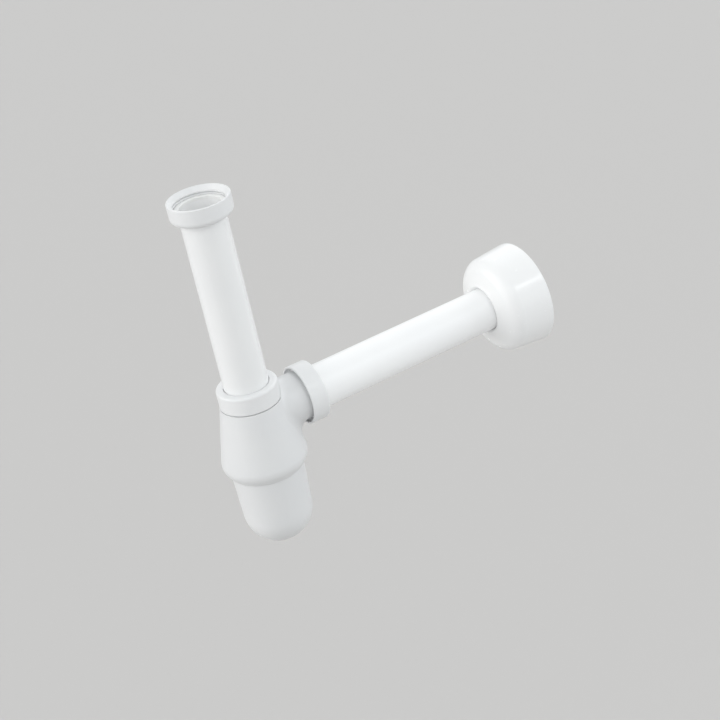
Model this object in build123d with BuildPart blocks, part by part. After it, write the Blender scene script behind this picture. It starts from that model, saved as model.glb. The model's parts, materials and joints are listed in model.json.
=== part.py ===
from build123d import *
import os

# Sizes in millimetres. The origin is on the inlet's axis, in the top face of the washer.
# +Z is up along the inlet tube, and +X runs along the outlet pipe to the wall.

# Fits that several pieces share
fit_gap = 0.3  # between neighbours that slide or turn
pipe_r = 20.0  # outside radius of the inlet tube and of the outlet pipe
pipe_wall = 2.0
bore_r = pipe_r - pipe_wall
socket_gap = 0.4
socket_r = pipe_r + socket_gap  # bore that takes a pipe
thread_reach = 3.9  # from the pipe's surface to the thread's largest radius
thread_major_r = pipe_r + thread_reach  # G 1 1/2 pipe thread
thread_depth = 1.48
thread_minor_r = thread_major_r - thread_depth
male_r = thread_major_r - fit_gap / 2  # plain envelope of a male thread
nut_bore_r = thread_major_r + fit_gap / 2

# Union nuts, alike outside, measured from the open end
nut_wall = 3.25
nut_r = nut_bore_r + nut_wall
nut_h = 17.0
nut_plate = 3.2
nut_ceiling = nut_h - nut_plate
nut_hole_gap = 0.35
nut_hole_r = pipe_r + nut_hole_gap
nut_round = 2.2  # far edge of the two joint nuts
inlet_nut_round = 5.0
nut_lip_round = 0.8
nut_hole_chamfer = 0.5
nut_mouth_flare = 1.6
nut_mouth_r = nut_bore_r + nut_mouth_flare
nut_mouth_depth = 2.8
inlet_mouth_flare = 2.1
inlet_mouth_r = nut_bore_r + inlet_mouth_flare
inlet_mouth_depth = 0.2
inlet_relief = 0.58
inlet_relief_r = thread_minor_r + inlet_relief  # plain bore round the tube's flange

# Male end inside a nut, measured from the nut's open end
male_reach = 8.8
seat_flare = 1.5
seat_mouth_r = socket_r + seat_flare
seat_depth = 4.0
ring_t = 1.2
ring_top = nut_ceiling - fit_gap
seal_top = ring_top - ring_t - fit_gap
seal_step = male_reach + fit_gap
seal_taper = 2.4
seal_tip = male_reach - seal_taper
seal_bore_r = pipe_r + fit_gap
seal_disc_r = thread_minor_r  # seals and slip rings pass the nuts' thread

# Inlet
washer_t = 2.5
flange_t = 3.5
flange_r = thread_minor_r - fit_gap
inlet_nut_top = nut_h - nut_plate - fit_gap - flange_t - washer_t

# Heights below are taken from the outlet's axis
outlet_drop = 203.0
outlet_z = -outlet_drop

# Trap body
wall = 2.4
shoulder = 15.7
shoulder_gap = 0.5  # visible line under the tube nut
tube_nut_low = shoulder + shoulder_gap
neck_top = tube_nut_low + male_reach
shoulder_ledge = 0.4
body_top_r = nut_r + shoulder_ledge
body_corner = -42.5  # where the cone and the lower edge would meet if sharp
body_edge_h = 8.5
body_edge_reach = 5.7
body_round = 12.0
body_end = body_corner - body_edge_h
skirt_lip = 0.8
body_blend_h = 14.3
body_blend_top = shoulder + body_blend_h  # the cone runs on to here before the nut's room is cut
nut_room_gap = 0.5
nut_room_r = nut_r + nut_room_gap
ceiling = shoulder - wall
ledge_low = -25.0
ledge_t = 2.5
ledge_top = ledge_low + ledge_t
ledge_lip = 0.2  # the ledge stands in past the cup's inside by this

# Outlet socket, distances along the outlet from the tube's axis
socket_wall = 2.0
spigot_r = socket_r + socket_wall
spigot_blend = 11.0
outlet_nut_start = 45.0
spigot_end = outlet_nut_start + male_reach
spigot_plain = 3.0
spigot_thread_start = outlet_nut_start + spigot_plain
socket_depth = 20.8
socket_stop = spigot_end - socket_depth
passage_gap = 0.4
passage_r = bore_r + passage_gap
passage_start = bore_r
web_x = nut_room_r + wall

# Cup
water_gap = 10.4  # round the tube, inside the cup
cup_inner_r = pipe_r + water_gap
cup_r = cup_inner_r + wall
skirt_bore_r = cup_r + fit_gap
body_end_r = skirt_bore_r + skirt_lip
body_corner_r = body_end_r + body_edge_reach
cup_taper = 1.4
cup_knee_r = cup_r - cup_taper
cup_h = 75.2  # below the body's lower edge
cup_bottom = body_end - cup_h
cup_knee = cup_bottom + cup_knee_r
dip_clearance = 44.2  # from the cup's bottom up to the tube's end
dip_end = cup_bottom + dip_clearance
ledge_r = cup_inner_r - ledge_lip
cup_seal_t = 2.2
cup_seal_r = cup_r
cup_seal_top = ledge_low - fit_gap
cup_top = cup_seal_top - cup_seal_t - fit_gap

# Wall flange
flange_face = 243.9  # where the curled-in lip and the face would meet if sharp
flange_lip_depth = 3.2
flange_lip_reach = 2.2
flange_lip_round = 3.0
flange_face_h = 7.6
flange_face_reach = 22.7
flange_round = 14.0
flange_rim_round = 0.8
flange_depth = 46.6
flange_flare = 3.2
flange_wall = 2.0
collar_wall = 2.2
collar_h = 7.5
flange_hole_r = pipe_r + fit_gap
flange_lip_r = flange_hole_r + flange_lip_reach
flange_corner = flange_face + flange_face_h
flange_corner_r = flange_lip_r + flange_face_reach
flange_rim = flange_face + flange_depth
flange_rim_r = flange_corner_r + flange_flare
collar_start = flange_face + flange_lip_depth
pipe_set_back = 2.5  # the pipe stops this far inside the flange's rim
pipe_end = flange_rim - pipe_set_back

tube_axis = Axis((0, 0, 0), (0, 0, 1))
outlet_axis = Axis((0, 0, outlet_z), (1, 0, 0))


def up_plane(z):
    """Section plane of a piece on the tube's axis: radius across, height up from z."""
    return Plane(origin=(0, 0, z), x_dir=(1, 0, 0), z_dir=(0, -1, 0))


def out_plane(x):
    """Section plane of a piece on the outlet's axis: radius across, distance on from x."""
    return Plane(origin=(x, 0, outlet_z), x_dir=(0, 0, 1), z_dir=(0, 1, 0))


def wall_r(height):
    """Outside radius of the body's cone at a height."""
    slope = (body_corner_r - body_top_r) / (shoulder - body_corner)
    return body_top_r + (shoulder - height) * slope


def union_nut_points(mouth, mouth_depth, bore, inner_points):
    """Half section of a nut: mouth, thread bore, inner points up to the ceiling, and outside."""
    return [
        (mouth, 0),
        (mouth, mouth_depth),
        (bore, mouth_depth + mouth - bore),
        *inner_points,
        (nut_hole_r, nut_ceiling),
        (nut_hole_r, nut_h - nut_hole_chamfer),
        (nut_hole_r + nut_hole_chamfer, nut_h),
        (nut_r, nut_h),
        (nut_r, 0),
    ]


def seal_points():
    seat_slope = (seat_mouth_r - socket_r) / seat_depth
    tip_r = seat_mouth_r - seal_taper * seat_slope - fit_gap
    step_r = seat_mouth_r - fit_gap
    return [
        (seal_bore_r, seal_tip),
        (tip_r, seal_tip),
        (step_r, male_reach),
        (step_r, seal_step),
        (seal_disc_r, seal_step),
        (seal_disc_r, seal_top),
        (seal_bore_r, seal_top),
    ]


def ring_points():
    return [
        (seal_bore_r, ring_top - ring_t),
        (seal_disc_r, ring_top - ring_t),
        (seal_disc_r, ring_top),
        (seal_bore_r, ring_top),
    ]


relief_points = [
    (thread_minor_r, inlet_nut_top),
    (inlet_relief_r, inlet_nut_top),
    (inlet_relief_r, nut_ceiling),
]
inlet_nut_points = union_nut_points(
    inlet_mouth_r, inlet_mouth_depth, thread_minor_r, relief_points
)
joint_nut_points = union_nut_points(
    nut_mouth_r, nut_mouth_depth, nut_bore_r, [(nut_bore_r, nut_ceiling)]
)

# Inlet union nut, open end up
inlet_section = Plane(origin=(0, 0, inlet_nut_top), x_dir=(1, 0, 0), z_dir=(0, 1, 0))
with BuildPart() as inlet_nut:
    with BuildSketch(inlet_section) as inlet_nut_section:
        with BuildLine():
            Polyline(*inlet_nut_points, close=True)
        make_face()
        fillet(inlet_nut_section.vertices().sort_by_distance((nut_r, nut_h))[0], inlet_nut_round)
        fillet(inlet_nut_section.vertices().sort_by_distance((nut_r, 0))[0], nut_lip_round)
    revolve(axis=tube_axis)

# Flat washer on the tube's flange
with BuildPart() as inlet_washer:
    with BuildSketch(Plane.XY.offset(-washer_t)):
        Circle(flange_r)
        Circle(bore_r, mode=Mode.SUBTRACT)
    extrude(amount=washer_t)

# Flanged inlet tube, down into the cup
with BuildPart() as dip_tube:
    with BuildSketch(up_plane(0)) as dip_tube_section:
        with BuildLine():
            Polyline(
                (bore_r, outlet_z + dip_end),
                (pipe_r, outlet_z + dip_end),
                (pipe_r, -washer_t - flange_t),
                (flange_r, -washer_t - flange_t),
                (flange_r, -washer_t),
                (bore_r, -washer_t),
                close=True,
            )
        make_face()
    revolve(axis=tube_axis)

# Nut, slip ring and tapered seal on the body's neck
with BuildPart() as tube_nut:
    with BuildSketch(up_plane(outlet_z + tube_nut_low)) as tube_nut_section:
        with BuildLine():
            Polyline(*joint_nut_points, close=True)
        make_face()
        fillet(tube_nut_section.vertices().sort_by_distance((nut_r, nut_h))[0], nut_round)
        fillet(tube_nut_section.vertices().sort_by_distance((nut_r, 0))[0], nut_lip_round)
    revolve(axis=tube_axis)

with BuildPart() as tube_slip_ring:
    with BuildSketch(up_plane(outlet_z + tube_nut_low)):
        with BuildLine():
            Polyline(*ring_points(), close=True)
        make_face()
    revolve(axis=tube_axis)

with BuildPart() as tube_seal:
    with BuildSketch(up_plane(outlet_z + tube_nut_low)):
        with BuildLine():
            Polyline(*seal_points(), close=True)
        make_face()
    revolve(axis=tube_axis)

# Trap body: cone with a side socket, a threaded neck and a skirt for the cup
with BuildPart() as trap_body:
    with BuildSketch(up_plane(outlet_z)) as body_section:
        with BuildLine():
            Polyline(
                (0, body_end),
                (body_end_r, body_end),
                (body_corner_r, body_corner),
                (wall_r(body_blend_top), body_blend_top),
                (0, body_blend_top),
                close=True,
            )
        make_face()
        fillet(body_section.vertices().sort_by_distance((body_corner_r, body_corner))[0], body_round)
    revolve(axis=tube_axis)
    with BuildSketch(Plane.YZ):
        with Locations((0, outlet_z)):
            Circle(spigot_r)
    extrude(amount=spigot_end)
    blend_edges = trap_body.edges().filter_by(
        lambda e: e.geom_type not in (GeomType.CIRCLE, GeomType.LINE) and e.center().X > body_top_r / 2
    )
    fillet(blend_edges, spigot_blend)

    # Room for the tube nut, then the neck
    with BuildSketch(Plane.XY.offset(outlet_z + shoulder)):
        Circle(nut_room_r)
    extrude(amount=body_blend_top, mode=Mode.SUBTRACT)
    with BuildSketch(Plane.XY.offset(outlet_z + ceiling)):
        Circle(male_r)
    extrude(amount=neck_top - ceiling)
    with BuildSketch(Plane.YZ.offset(spigot_thread_start)):
        with Locations((0, outlet_z)):
            Circle(male_r)
    extrude(amount=spigot_end - spigot_thread_start)

    # Neck bore, chamber, ledge for the cup's seal, and skirt bore
    with BuildSketch(up_plane(outlet_z)):
        with BuildLine():
            Polyline(
                (0, neck_top),
                (seat_mouth_r, neck_top),
                (socket_r, neck_top - seat_depth),
                (socket_r, ceiling),
                (wall_r(ceiling) - wall, ceiling),
                (wall_r(ledge_top) - wall, ledge_top),
                (ledge_r, ledge_top),
                (ledge_r, ledge_low),
                (skirt_bore_r, ledge_low),
                (skirt_bore_r, body_end),
                (0, body_end),
                close=True,
            )
        make_face()
    revolve(axis=tube_axis, mode=Mode.SUBTRACT)

    # Outlet passage, roofed below the nut's room, and the pipe's socket
    with BuildSketch(Plane.YZ.offset(passage_start)):
        with Locations((0, outlet_z)):
            Circle(passage_r)
        with Locations((0, outlet_z + ceiling + passage_r)):
            Rectangle(2 * passage_r, 2 * passage_r, mode=Mode.SUBTRACT)
    extrude(amount=web_x - passage_start, mode=Mode.SUBTRACT)
    with BuildSketch(out_plane(0)):
        with BuildLine():
            Polyline(
                (0, web_x),
                (passage_r, web_x),
                (passage_r, socket_stop),
                (socket_r, socket_stop),
                (socket_r, spigot_end - seat_depth),
                (seat_mouth_r, spigot_end),
                (0, spigot_end),
                close=True,
            )
        make_face()
    revolve(axis=outlet_axis, mode=Mode.SUBTRACT)

# Seal, slip ring and nut on the outlet socket
with BuildPart() as outlet_seal:
    with BuildSketch(out_plane(outlet_nut_start)):
        with BuildLine():
            Polyline(*seal_points(), close=True)
        make_face()
    revolve(axis=outlet_axis)

with BuildPart() as outlet_slip_ring:
    with BuildSketch(out_plane(outlet_nut_start)):
        with BuildLine():
            Polyline(*ring_points(), close=True)
        make_face()
    revolve(axis=outlet_axis)

with BuildPart() as outlet_nut:
    with BuildSketch(out_plane(outlet_nut_start)) as outlet_nut_section:
        with BuildLine():
            Polyline(*joint_nut_points, close=True)
        make_face()
        fillet(outlet_nut_section.vertices().sort_by_distance((nut_r, nut_h))[0], nut_round)
        fillet(outlet_nut_section.vertices().sort_by_distance((nut_r, 0))[0], nut_lip_round)
    revolve(axis=outlet_axis)

# Outlet pipe, from the socket's stop to just inside the flange's rim
with BuildPart() as outlet_pipe:
    with BuildSketch(Plane.YZ.offset(socket_stop + fit_gap)):
        with Locations((0, outlet_z)):
            Circle(pipe_r)
            Circle(bore_r, mode=Mode.SUBTRACT)
    extrude(amount=pipe_end - socket_stop - fit_gap)

# Bell-shaped wall flange, its lip curled in to a collar round the pipe
with BuildPart() as wall_flange:
    with BuildSketch(out_plane(0)) as flange_section:
        with BuildLine() as bell_line:
            Polyline(
                (flange_hole_r, collar_start),
                (flange_lip_r, flange_face),
                (flange_corner_r, flange_corner),
                (flange_rim_r, flange_rim),
            )
            fillet(bell_line.vertices().sort_by_distance((flange_lip_r, flange_face))[0], flange_lip_round)
            fillet(bell_line.vertices().sort_by_distance((flange_corner_r, flange_corner))[0], flange_round)
            offset(amount=flange_wall, side=Side.LEFT)
        make_face()
        with Locations((flange_corner_r, flange_rim)):
            Rectangle(flange_flare, flange_wall, align=Align.MIN, mode=Mode.SUBTRACT)
        fillet(flange_section.vertices().sort_by_distance((flange_rim_r, flange_rim))[0], flange_rim_round)
        with Locations((flange_hole_r, collar_start)):
            Rectangle(collar_wall, collar_h, align=Align.MIN)
    revolve(axis=outlet_axis)

# Flat seal between the body's ledge and the cup's rim
with BuildPart() as cup_seal:
    with BuildSketch(Plane.XY.offset(outlet_z + cup_seal_top - cup_seal_t)):
        Circle(cup_seal_r)
        Circle(cup_inner_r, mode=Mode.SUBTRACT)
    extrude(amount=cup_seal_t)

# Round-bottomed cup, screwed up into the skirt
with BuildPart() as cup:
    with BuildSketch(up_plane(outlet_z)):
        with BuildLine():
            CenterArc((0, cup_knee), cup_knee_r, -90, 90)
            Polyline(
                (cup_knee_r, cup_knee),
                (cup_r, body_end),
                (cup_r, cup_top),
                (cup_inner_r, cup_top),
                (cup_inner_r, body_end),
                (cup_knee_r - wall, cup_knee),
            )
            CenterArc((0, cup_knee), cup_knee_r - wall, 0, -90)
            Line((0, cup_bottom + wall), (0, cup_bottom))
        make_face()
    revolve(axis=tube_axis)

pieces = {
    "inlet_nut": inlet_nut,
    "inlet_washer": inlet_washer,
    "dip_tube": dip_tube,
    "tube_nut": tube_nut,
    "tube_slip_ring": tube_slip_ring,
    "tube_seal": tube_seal,
    "trap_body": trap_body,
    "outlet_seal": outlet_seal,
    "outlet_slip_ring": outlet_slip_ring,
    "outlet_nut": outlet_nut,
    "outlet_pipe": outlet_pipe,
    "wall_flange": wall_flange,
    "cup_seal": cup_seal,
    "cup": cup,
}
os.makedirs("parts", exist_ok=True)
for name, piece in pieces.items():
    piece.part.label = name
    export_step(piece.part, f"parts/{name}.step")
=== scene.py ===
import bpy
import json
from math import atan2, ceil, cos, floor, hypot, pi, radians, sin
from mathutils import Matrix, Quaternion, Vector


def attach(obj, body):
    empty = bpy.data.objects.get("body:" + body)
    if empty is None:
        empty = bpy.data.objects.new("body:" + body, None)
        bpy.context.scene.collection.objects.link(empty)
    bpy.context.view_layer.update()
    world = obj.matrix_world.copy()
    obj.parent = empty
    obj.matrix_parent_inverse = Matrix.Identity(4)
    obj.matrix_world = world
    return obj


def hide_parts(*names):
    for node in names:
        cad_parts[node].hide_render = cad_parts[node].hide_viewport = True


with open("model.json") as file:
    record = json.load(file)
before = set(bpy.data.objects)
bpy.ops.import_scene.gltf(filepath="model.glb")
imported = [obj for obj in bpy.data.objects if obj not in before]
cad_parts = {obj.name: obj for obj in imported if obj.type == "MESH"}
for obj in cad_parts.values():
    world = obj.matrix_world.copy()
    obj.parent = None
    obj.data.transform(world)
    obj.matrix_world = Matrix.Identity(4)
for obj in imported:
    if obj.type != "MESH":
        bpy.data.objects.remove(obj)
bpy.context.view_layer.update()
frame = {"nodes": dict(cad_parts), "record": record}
mm = 0.001
nearly = 0.000005  # two places closer than this are one, in metres
mounts = {mount["name"]: mount["pos_m"] for mount in frame["record"]["mounts"]}
outletHeight = mounts["outlet"][2]  # the outlet's axis, below the inlet


# Camera and studio

photoCamera = {
    "place": (-0.4540, -1.2068, 0.5145),
    "aim": (0.1109, 0.0, -0.1965),
    "rollDegrees": -12.43,
    "lens": 84.37,
    "sensor": 36.0,
}

studio = {
    "floorHeight": -1.2,
    "floorSize": 40.0,
    "floorColor": (0.551, 0.540, 0.531),
    "floorRoughness": 0.9,
    "skyColor": (0.965, 0.988, 1.0),
    "skyStrength": 0.600,
    "lamps": {  # the side each soft lamp shines from, its strength, spread in degrees and colour
        "leftLamp": ((-0.9, 0.05, 0.42), 0.97, 56.0, (1.0, 0.995, 0.985)),
        "backLeftLamp": ((-0.9, 0.5, 0.3), 0.53, 36.0, (1.0, 0.995, 0.98)),
        "backRightLamp": ((0.6, 0.6, 0.55), 0.66, 60.0, (1.0, 1.0, 1.0)),
        "rightLamp": ((1.0, -0.35, 0.2), 0.69, 40.0, (0.94, 0.98, 1.0)),
        "frontRightLamp": ((0.55, -0.8, 0.25), 0.37, 60.0, (0.94, 0.98, 1.0)),
        "frontLeftLamp": ((-0.45, -0.80, 0.75), 0.40, 40.0, (0.96, 0.99, 1.0)),
        "topLamp": ((0.1, -0.2, 1.0), 0.11, 60.0, (1.0, 1.0, 1.0)),
    },
    "stripPlace": (0.923, -1.421, 1.117),  # a narrow lamp whose shine runs along the flange's side
    "stripLength": 0.09,
    "stripWidth": 0.10,
    "stripPower": 1.7,
    "stripColor": (1.0, 1.0, 1.0),
}


def makeCamera(look):
    cameraData = bpy.data.cameras.new("photoCamera")
    cameraData.lens = look["lens"]
    cameraData.sensor_width = look["sensor"]
    camera = bpy.data.objects.new("photoCamera", cameraData)
    bpy.context.scene.collection.objects.link(camera)
    camera.location = look["place"]
    towards = Vector(look["aim"]) - Vector(look["place"])
    roll = Quaternion((0, 0, 1), radians(look["rollDegrees"]))
    camera.rotation_mode = "QUATERNION"
    camera.rotation_quaternion = towards.to_track_quat("-Z", "Y") @ roll
    bpy.context.scene.camera = camera


def addLamp(name, kind, towards, settings):
    lightData = bpy.data.lights.new(name, kind)
    for setting, value in settings.items():
        setattr(lightData, setting, value)
    light = bpy.data.objects.new(name, lightData)
    bpy.context.scene.collection.objects.link(light)
    light.rotation_euler = towards.to_track_quat("-Z", "Y").to_euler()
    return light


def makeStudio(look):
    world = bpy.data.worlds.new("studioSky")
    world.use_nodes = True
    background = world.node_tree.nodes["Background"]
    background.inputs["Color"].default_value = (*look["skyColor"], 1)
    background.inputs["Strength"].default_value = look["skyStrength"]
    bpy.context.scene.world = world
    for name, (place, strength, spread, color) in look["lamps"].items():
        addLamp(name, "SUN", -Vector(place), {"energy": strength, "angle": radians(spread), "color": color})
    strip = {"shape": "RECTANGLE", "energy": look["stripPower"], "color": look["stripColor"]}
    strip.update(size=look["stripLength"], size_y=look["stripWidth"])
    stripPlace = Vector(look["stripPlace"])
    addLamp("stripLight", "AREA", Vector(photoCamera["aim"]) - stripPlace, strip).location = stripPlace
    half = look["floorSize"] / 2
    corners = [(-half, -half, 0), (half, -half, 0), (half, half, 0), (-half, half, 0)]
    floorMesh = bpy.data.meshes.new("studioFloor")
    floorMesh.from_pydata(corners, [], [(0, 1, 2, 3)])
    ground = bpy.data.objects.new("studioFloor", floorMesh)
    bpy.context.scene.collection.objects.link(ground)
    ground.location.z = look["floorHeight"]
    paint = bpy.data.materials.new("floorPaint")
    paint.use_nodes = True
    shader = paint.node_tree.nodes["Principled BSDF"]
    shader.inputs["Base Color"].default_value = (*look["floorColor"], 1)
    shader.inputs["Roughness"].default_value = look["floorRoughness"]
    floorMesh.materials.append(paint)


makeCamera(photoCamera)
makeStudio(studio)
bpy.context.scene.view_settings.view_transform = "Standard"
print("camera and studio are set")


# Materials

mixFactor, mixLow, mixHigh, mixResult = 0, 6, 7, 2  # the Mix node's sockets when it blends colours
noiseMiddle = 0.5  # about what a noise gives on average
edgeSamples = 4


class Wire:  # one socket of a material, so that shader maths reads as plain expressions
    def __init__(self, tree, socket=None):
        self.tree = tree
        self.socket = socket

    def node(self, kind, settings=None, inputs=None, output=0):
        made = self.tree.nodes.new(kind)
        for name, setting in (settings or {}).items():
            setattr(made, name, setting)
        for key, value in (inputs or {}).items():
            if isinstance(value, Wire):
                self.tree.links.new(value.socket, made.inputs[key])
            else:
                made.inputs[key].default_value = value
        return Wire(self.tree, made.outputs[output])

    def math(self, operation, first, second=0.0):
        return self.node("ShaderNodeMath", {"operation": operation}, {0: first, 1: second})

    def clamped(self):
        return self.node("ShaderNodeClamp", {}, {"Value": self})

    def stretched(self, scale):  # a vector, scaled along each axis
        return self.node("ShaderNodeVectorMath", {"operation": "MULTIPLY"}, {0: self, 1: scale})

    def length(self):  # of a vector
        return self.node("ShaderNodeVectorMath", {"operation": "LENGTH"}, {0: self}, "Value")

    def blended(self, low, high):  # by this value, from a colour or a wire to a fixed colour
        low = low if isinstance(low, Wire) else (*low, 1)
        colors = {mixFactor: self, mixLow: low, mixHigh: (*high, 1)}
        return self.node("ShaderNodeMix", {"data_type": "RGBA"}, colors, mixResult)

    def noise(self, scale=1.0, detail=2.0, roughness=0.5):
        values = {"Vector": self, "Scale": scale, "Detail": detail, "Roughness": roughness}
        return self.node("ShaderNodeTexNoise", {}, values, "Fac")

    def between(self, low, high):  # 0 at low, 1 at high, with soft ends
        values = {"Value": self, "From Min": low, "From Max": high}
        return self.node("ShaderNodeMapRange", {"interpolation_type": "SMOOTHSTEP"}, values)

    def __add__(self, other):
        return self.math("ADD", self, other)

    def __radd__(self, other):
        return self.math("ADD", other, self)

    def __sub__(self, other):
        return self.math("SUBTRACT", self, other)

    def __rsub__(self, other):
        return self.math("SUBTRACT", other, self)

    def __mul__(self, other):
        return self.math("MULTIPLY", self, other)

    def __rmul__(self, other):
        return self.math("MULTIPLY", other, self)


def startMaterial(name):
    material = bpy.data.materials.new(name)
    material.use_nodes = True
    tree = material.node_tree
    shader = tree.nodes["Principled BSDF"]
    return material, Wire(tree), shader


def setShader(wire, shader, values):
    for name, value in values.items():
        if isinstance(value, Wire):
            wire.tree.links.new(value.socket, shader.inputs[name])
        else:
            shader.inputs[name].default_value = value


def wornEdges(wire, look):  # near 1 on convex and concave edges, 0 on flats
    settings = {"operation": "DOT_PRODUCT"}
    radius = {"Radius": look["edgeRadius"]}
    rounded = wire.node("ShaderNodeBevel", {"samples": edgeSamples}, radius, "Normal")
    plain = wire.node("ShaderNodeNewGeometry", {}, {}, "Normal")
    same = wire.node("ShaderNodeVectorMath", settings, {0: rounded, 1: plain}, "Value")
    return (1.0 - same).between(*look["edgeBend"])


# A moulded or drawn plastic or rubber: slow drift of tone, fine grain, lines along the draw, scuffs
# and rubbed edges, and where asked a bore painted whiter as painted light
def makePlastic(name, look):
    material, wire, shader = startMaterial(name)
    place = wire.node("ShaderNodeTexCoord", {}, {}, "Object")
    drift = place.noise(look["driftScale"], detail=3.0)
    grain = place.noise(look["grainScale"], detail=3.0, roughness=0.6)
    lines = place.stretched(look["lineStretch"]).noise()
    scuffs = place.stretched(look["scuffStretch"]).noise(detail=4.0, roughness=0.65)
    scuffs = scuffs.between(*look["scuffRange"])
    edges = wornEdges(wire, look)
    tone = drift.between(*look["driftRange"]).blended(look["color"], look["driftColor"])
    # painted light: inside a bore the tone turns whiter, so the hollow looks lit
    if "boreRadius" in look:
        fromLine = place.stretched(look["boreAcross"]).length()
        paintedBoreLightMask = fromLine.between(look["boreRadius"] + look["boreSoftness"], look["boreRadius"])
        tone = paintedBoreLightMask.blended(tone, look["boreColor"])
    tone = (edges * look["edgeWear"]).blended(tone, look["edgeColor"])
    rough = look["roughness"] + (drift - noiseMiddle) * look["roughnessDrift"]
    rough = rough + scuffs * look["scuffRoughness"] - edges * look["edgePolish"]
    rough = rough + (lines - noiseMiddle) * look["lineRoughness"]
    height = grain * look["grainHeight"] + lines * look["lineHeight"] - scuffs * look["scuffDepth"]
    bump = wire.node("ShaderNodeBump", {}, {"Strength": 1.0, "Distance": mm, "Height": height})
    values = {
        "Base Color": tone,
        "Roughness": rough.clamped(),
        "Normal": bump,
        "IOR": look["ior"],
    }
    setShader(wire, shader, values)
    return material


satinPlastic = {  # every finish starts from this; its heights and depths are in millimetres
    "color": (0.788, 0.792, 0.795),
    "driftColor": (0.770, 0.776, 0.782),
    "driftScale": 22.0,
    "driftRange": (0.3, 0.7),  # of the noise, from the one colour to the other
    "grainScale": 2600.0,
    "grainHeight": 0.012,
    "lineStretch": (160.0, 160.0, 160.0),
    "lineHeight": 0.02,
    "lineRoughness": 0.05,
    "scuffStretch": (420.0, 420.0, 60.0),
    "scuffRange": (0.62, 0.74),  # of the noise, from no scuff to a full one
    "scuffRoughness": 0.08,
    "scuffDepth": 0.006,
    "roughness": 0.36,
    "roughnessDrift": 0.10,
    "edgeRadius": 0.0009,
    "edgeBend": (0.01, 0.16),  # how far the surface bends away, from no wear to full wear
    "edgeWear": 0.5,
    "edgeColor": (0.86, 0.86, 0.85),
    "edgePolish": 0.08,
    "ior": 1.49,
}
bodyPlastic = dict(satinPlastic, color=(0.738, 0.742, 0.745), driftColor=(0.722, 0.728, 0.734))
drawnPlastic = dict(  # both pipes and the flange start from this
    satinPlastic,
    color=(0.852, 0.855, 0.855),
    driftColor=(0.838, 0.843, 0.846),
    edgeColor=(0.92, 0.92, 0.91),
    grainScale=1500.0,
    grainHeight=0.004,
    lineHeight=0.004,
    roughnessDrift=0.06,
)
softRubber = dict(
    satinPlastic,
    color=(0.215, 0.217, 0.222),
    driftColor=(0.24, 0.24, 0.245),
    roughness=0.6,
    grainHeight=0.03,
    edgeColor=(0.30, 0.30, 0.30),
)


# Threads and snug fits, worked into copies of the CAD pieces

wallTilt = 0.3  # a round wall's normals lean less than this along its axis
turnDigits = 5  # turns that agree to this many digits are one


def toAxis(axis, place):  # radius in metres, turn from 0 to 1, and metres along the axis
    across, up, along = (place[1], place[2] - outletHeight, place[0]) if axis == "outlet" else place
    return hypot(across, up), atan2(up, across) / (2 * pi) % 1.0, along


def fromAxis(axis, radius, turn, along):
    across, up = radius * cos(2 * pi * turn), radius * sin(2 * pi * turn)
    return (along, across, outletHeight + up) if axis == "outlet" else (across, up, along)


def eased(value):  # 0 to 1 with soft ends
    value = min(max(value, 0.0), 1.0)
    return value * value * (3.0 - 2.0 * value)


def threadCut(thread, along, turn):  # 0 on the plain wall, 1 at the full depth
    along = along / mm
    wave = ((along - thread["start"]) / thread["pitch"] - turn) % 1.0
    toMiddle = 1.0 - abs(2.0 * wave - 1.0)  # 0 in the middle of the land, 1 halfway to the next land
    cut = eased((toMiddle - thread["land"]) / thread["flank"])
    ends = (thread["lowEnd"], along - thread["low"]), (thread["highEnd"], thread["high"] - along)
    for kind, inside in ends:
        if kind == "fades":
            cut *= eased(inside / thread["fade"])
        else:
            cut = max(cut, 1.0 - inside / abs(thread["depth"]))
    return cut


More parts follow.
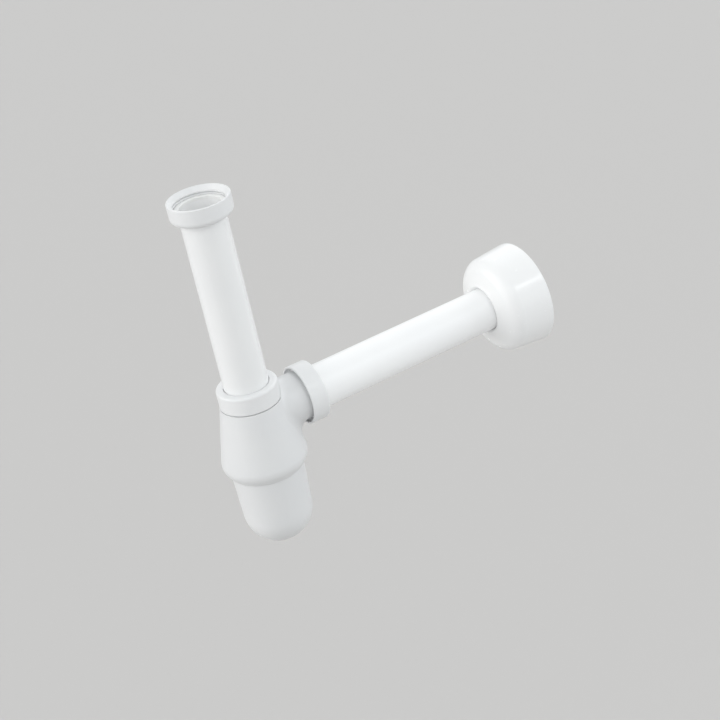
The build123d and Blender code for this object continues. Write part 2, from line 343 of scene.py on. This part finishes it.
class Shell:  # the faces of a CAD piece, with their normals
    def __init__(self, nodeName):
        mesh = frame["nodes"][nodeName].data
        self.nodeName = nodeName
        self.places = [tuple(vertex.co) for vertex in mesh.vertices]
        self.faces = [list(face.vertices) for face in mesh.polygons]
        normals = [tuple(corner.vector) for corner in mesh.corner_normals]
        self.normals = [[normals[i] for i in face.loop_indices] for face in mesh.polygons]

    def fit(self, snug):  # brings a round wall to another radius
        radius, snugRadius = snug["radius"] * mm, snug["snugRadius"] * mm
        for i, place in enumerate(self.places):
            wallRadius, turn, along = toAxis(snug["axis"], place)
            if abs(wallRadius - radius) < nearly and snug["low"] <= along / mm <= snug["high"]:
                self.places[i] = fromAxis(snug["axis"], snugRadius, turn, along)

    def cutThread(self, thread):  # a wall's plain faces give way to rows that follow the helix
        axis, radius, pitch = thread["axis"], thread["radius"] * mm, thread["pitch"] * mm
        lengthwise, sideways = (0, 1) if axis == "outlet" else (2, 0)
        spots = [toAxis(axis, place) for place in self.places]
        wall = []
        for number, face in enumerate(self.faces):
            tilt = max(abs(normal[lengthwise]) for normal in self.normals[number])
            if tilt < wallTilt and all(abs(spots[i][0] - radius) < nearly for i in face):
                wall.append(number)
        edge = {i for number in wall for i in self.faces[number]}
        low, high = min(spots[i][2] for i in edge), max(spots[i][2] for i in edge)
        across = self.places[self.faces[wall[0]][0]][sideways]
        outward = across * self.normals[wall[0]][0][sideways] > 0
        for kind, end in ((thread["lowEnd"], low), (thread["highEnd"], high)):
            if kind == "chamfered":
                for i, (spotRadius, turn, along) in enumerate(spots):
                    if abs(spotRadius - radius) < nearly and abs(along - end) < nearly:
                        self.places[i] = fromAxis(axis, radius + thread["depth"] * mm, turn, along)

        def ring(end):  # the wall's points at one end, by their turn
            found = (i for i in edge if abs(spots[i][2] - end) < nearly)
            return {round(spots[i][1], turnDigits) % 1.0: i for i in found}

        lowEdge, highEdge = ring(low), ring(high)
        turns = sorted(lowEdge)
        steps = thread["steps"]
        start = thread["start"] * mm
        first = start + pitch * (floor((low - start) / pitch) - 1)  # a whole pitch below the wall
        rows = steps * ceil((high - first) / pitch)
        made = {}

        def corner(row, column):  # a point of the thread, or of the wall's edge past its ends
            if column == len(turns):  # once round, one pitch further along
                row, column = row + steps, 0
            turn = turns[column]
            along = first + pitch * (row / steps + turn)
            if along <= low + nearly:
                return lowEdge[turn]
            if along >= high - nearly:
                return highEdge[turn]
            if (row, column) not in made:
                made[row, column] = len(self.places)
                deep = radius + thread["depth"] * mm * threadCut(thread, along, turn)
                self.places.append(fromAxis(axis, deep, turn, along))
            return made[row, column]

        gone = set(wall)
        self.normals = [normals for number, normals in enumerate(self.normals) if number not in gone]
        self.faces = [face for number, face in enumerate(self.faces) if number not in gone]
        newFaces = []
        for column in range(len(turns)):
            for row in range(rows):
                around = [corner(row, column), corner(row, column + 1)]
                around += [corner(row + 1, column + 1), corner(row + 1, column)]
                face = list(dict.fromkeys(around))
                if len(face) > 2:
                    newFaces.append(face if outward else face[::-1])
        slopes = {}
        for face in newFaces:
            points = [Vector(self.places[i]) for i in face]
            slope = (points[1] - points[0]).cross(points[2] - points[0])
            slope += (points[-2] - points[0]).cross(points[-1] - points[0])
            for i in face:
                slopes[i] = slopes.get(i, Vector()) + slope
        self.faces += newFaces
        self.normals += [[tuple(slopes[i].normalized()) for i in face] for face in newFaces]

    def finish(self, name, bodyName, slotName, material):  # equal points become one
        corners, faces, normals = {}, [], []
        for face, faceNormals in zip(self.faces, self.normals):
            shown = {}
            for i, normal in zip(face, faceNormals):
                shown.setdefault(corners.setdefault(self.places[i], len(corners)), normal)
            if len(shown) > 2:
                faces.append(list(shown))
                normals += shown.values()
        mesh = bpy.data.meshes.new(name)
        mesh.from_pydata(list(corners), [], faces)
        mesh.polygons.foreach_set("use_smooth", [True] * len(faces))
        mesh.normals_split_custom_set(normals)
        mesh.materials.append(material)
        piece = bpy.data.objects.new(name, mesh)
        bpy.context.scene.collection.objects.link(piece)
        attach(piece, bodyName)
        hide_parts(self.nodeName)
        return piece


def makePiece(name, look):  # a dressed copy stands for the CAD piece where threads or fits are asked for
    material = makePlastic(name + "Finish", look["finish"])
    node = frame["nodes"][look["node"]]
    if not (look.get("threads") or look.get("fits")):
        node.data.materials.clear()
        node.data.materials.append(material)
        print("painted", look["node"])
        return
    shell = Shell(look["node"])
    for snug in look.get("fits", []):
        shell.fit(snug)
    for thread in look.get("threads", []):
        shell.cutThread(thread)
    piece = shell.finish(name, look["body"], look["slot"], material)
    print("made", name, "with", len(piece.data.polygons), "faces")


# The two slip joints, the inlet and the cup, from the same thread

pipeThread = {  # G 1 1/2, 11 turns to the inch; lengths are in millimetres
    "axis": "tube",
    "pitch": 2.309,
    "start": 0.0,
    "land": 0.24,  # share of the pitch that stays plain
    "flank": 0.54,  # share of the pitch that slopes
    "fade": 0.6,  # length over which a faded end runs out
    "steps": 12,  # rows of faces to one pitch
    "depth": -1.2,  # away from the axis, or towards it where it is negative
    "lowEnd": "fades",  # or "chamfered"
    "highEnd": "fades",
}
socketThread = dict(pipeThread, radius=23.75, lowEnd="chamfered", highEnd="chamfered")
cupThread = dict(pipeThread, pitch=3.0, depth=-1.0)

inletNut = {
    "node": "inlet_nut",
    "body": "inlet_nut",
    "slot": "satin_white",
    "finish": satinPlastic,
    "threads": [
        dict(
            pipeThread,
            radius=22.42,
            depth=1.48,
            start=0.19,
            land=0.38,
            flank=0.36,
            low=0.0,
            high=3.57,
        ),
    ],
}
makePiece("inletNut", inletNut)

inletWasher = {
    "node": "inlet_washer",
    "finish": dict(
        satinPlastic,
        # a pale washer, painted whiter still as painted light for the shaded hollow of the nut around it
        color=(0.90, 0.90, 0.89),
        driftColor=(0.87, 0.87, 0.86),
        roughness=0.62,
        grainHeight=0.03,
        edgeColor=(0.92, 0.92, 0.91),
    ),
}
makePiece("inletWasher", inletWasher)

inletTube = {
    "node": "dip_tube",
    "finish": dict(
        drawnPlastic,
        lineStretch=(1400.0, 1400.0, 7.0),  # drawn along its length
        scuffStretch=(260.0, 260.0, 26.0),
        roughness=0.24,
        boreRadius=0.0190,  # painted light: the tube's inside is painted a little whiter, so the bore looks lit
        boreSoftness=0.0002,
        boreAcross=(1.0, 1.0, 0.0),  # measured from the tube's axis, whatever the height
        boreColor=(0.955, 0.957, 0.955),
    ),
}
makePiece("inletTube", inletTube)

tubeNut = {
    "node": "tube_nut",
    "body": "tube_nut",
    "slot": "satin_white",
    "finish": satinPlastic,
    "threads": [
        dict(pipeThread, radius=24.05, low=-182.2, high=-175.0),
    ],
}
makePiece("tubeNut", tubeNut)

trapBody = {
    "node": "trap_body",
    "body": "trap_body",
    "slot": "satin_white",
    "finish": bodyPlastic,
    "fits": [  # beside the nut
        {"axis": "tube", "radius": 27.8, "snugRadius": 27.42, "low": -187.4, "high": -170.0},
    ],
    "threads": [  # neck, side socket and skirt
        dict(socketThread, low=-187.3, high=-178.0),
        dict(socketThread, axis="outlet", low=48.0, high=53.8),
        dict(cupThread, radius=33.1, low=-246.0, high=-232.0),
    ],
}
makePiece("trapBody", trapBody)

outletNut = {
    "node": "outlet_nut",
    "body": "outlet_nut",
    "slot": "satin_white",
    "finish": satinPlastic,
    "threads": [
        dict(pipeThread, axis="outlet", radius=24.05, low=49.6, high=56.8),
    ],
}
makePiece("outletNut", outletNut)

outletPipe = {
    "node": "outlet_pipe",
    "finish": dict(
        drawnPlastic,
        color=(0.934, 0.937, 0.937),
        driftColor=(0.920, 0.925, 0.928),
        edgeColor=(0.95, 0.95, 0.95),
        lineStretch=(7.0, 1400.0, 1400.0),  # drawn along its length
        scuffStretch=(26.0, 260.0, 260.0),
        roughness=0.30,
    ),
}
makePiece("outletPipe", outletPipe)

wallFlange = {
    "node": "wall_flange",
    "body": "wall_flange",
    "slot": "gloss_white",
    "finish": dict(
        drawnPlastic,
        color=(0.878, 0.881, 0.881),
        driftColor=(0.866, 0.871, 0.874),
        edgeColor=(0.94, 0.94, 0.94),
        lineStretch=(90.0, 90.0, 90.0),
        lineHeight=0.01,
        scuffStretch=(150.0, 150.0, 150.0),
        roughness=0.25,
    ),
    "fits": [  # hugs the pipe
        {"axis": "outlet", "radius": 20.3, "snugRadius": 20.06, "low": 246.0, "high": 256.0},
    ],
}
makePiece("wallFlange", wallFlange)

trapCup = {
    "node": "cup",
    "body": "cup",
    "slot": "satin_white",
    "finish": bodyPlastic,
    "threads": [
        dict(cupThread, radius=32.8, low=-249.5, high=-230.8, highEnd="chamfered"),
    ],
}
makePiece("trapCup", trapCup)

cupSeal = {
    "node": "cup_seal",
    "body": "cup_seal",
    "slot": "grey_rubber",
    "finish": softRubber,
    "fits": [  # passes the cup's thread
        {"axis": "tube", "radius": 32.8, "snugRadius": 31.9, "low": -231.0, "high": -228.0},
    ],
}
makePiece("cupSeal", cupSeal)

slipSeal = {"finish": softRubber}
makePiece("tubeSeal", dict(slipSeal, node="tube_seal"))
makePiece("outletSeal", dict(slipSeal, node="outlet_seal"))

slipRing = {
    "finish": dict(
        satinPlastic,
        color=(0.72, 0.72, 0.68),
        driftColor=(0.68, 0.68, 0.64),
        roughness=0.4,
        edgeColor=(0.78, 0.78, 0.74),
    ),
}
makePiece("tubeSlipRing", dict(slipRing, node="tube_slip_ring"))
makePiece("outletSlipRing", dict(slipRing, node="outlet_slip_ring"))

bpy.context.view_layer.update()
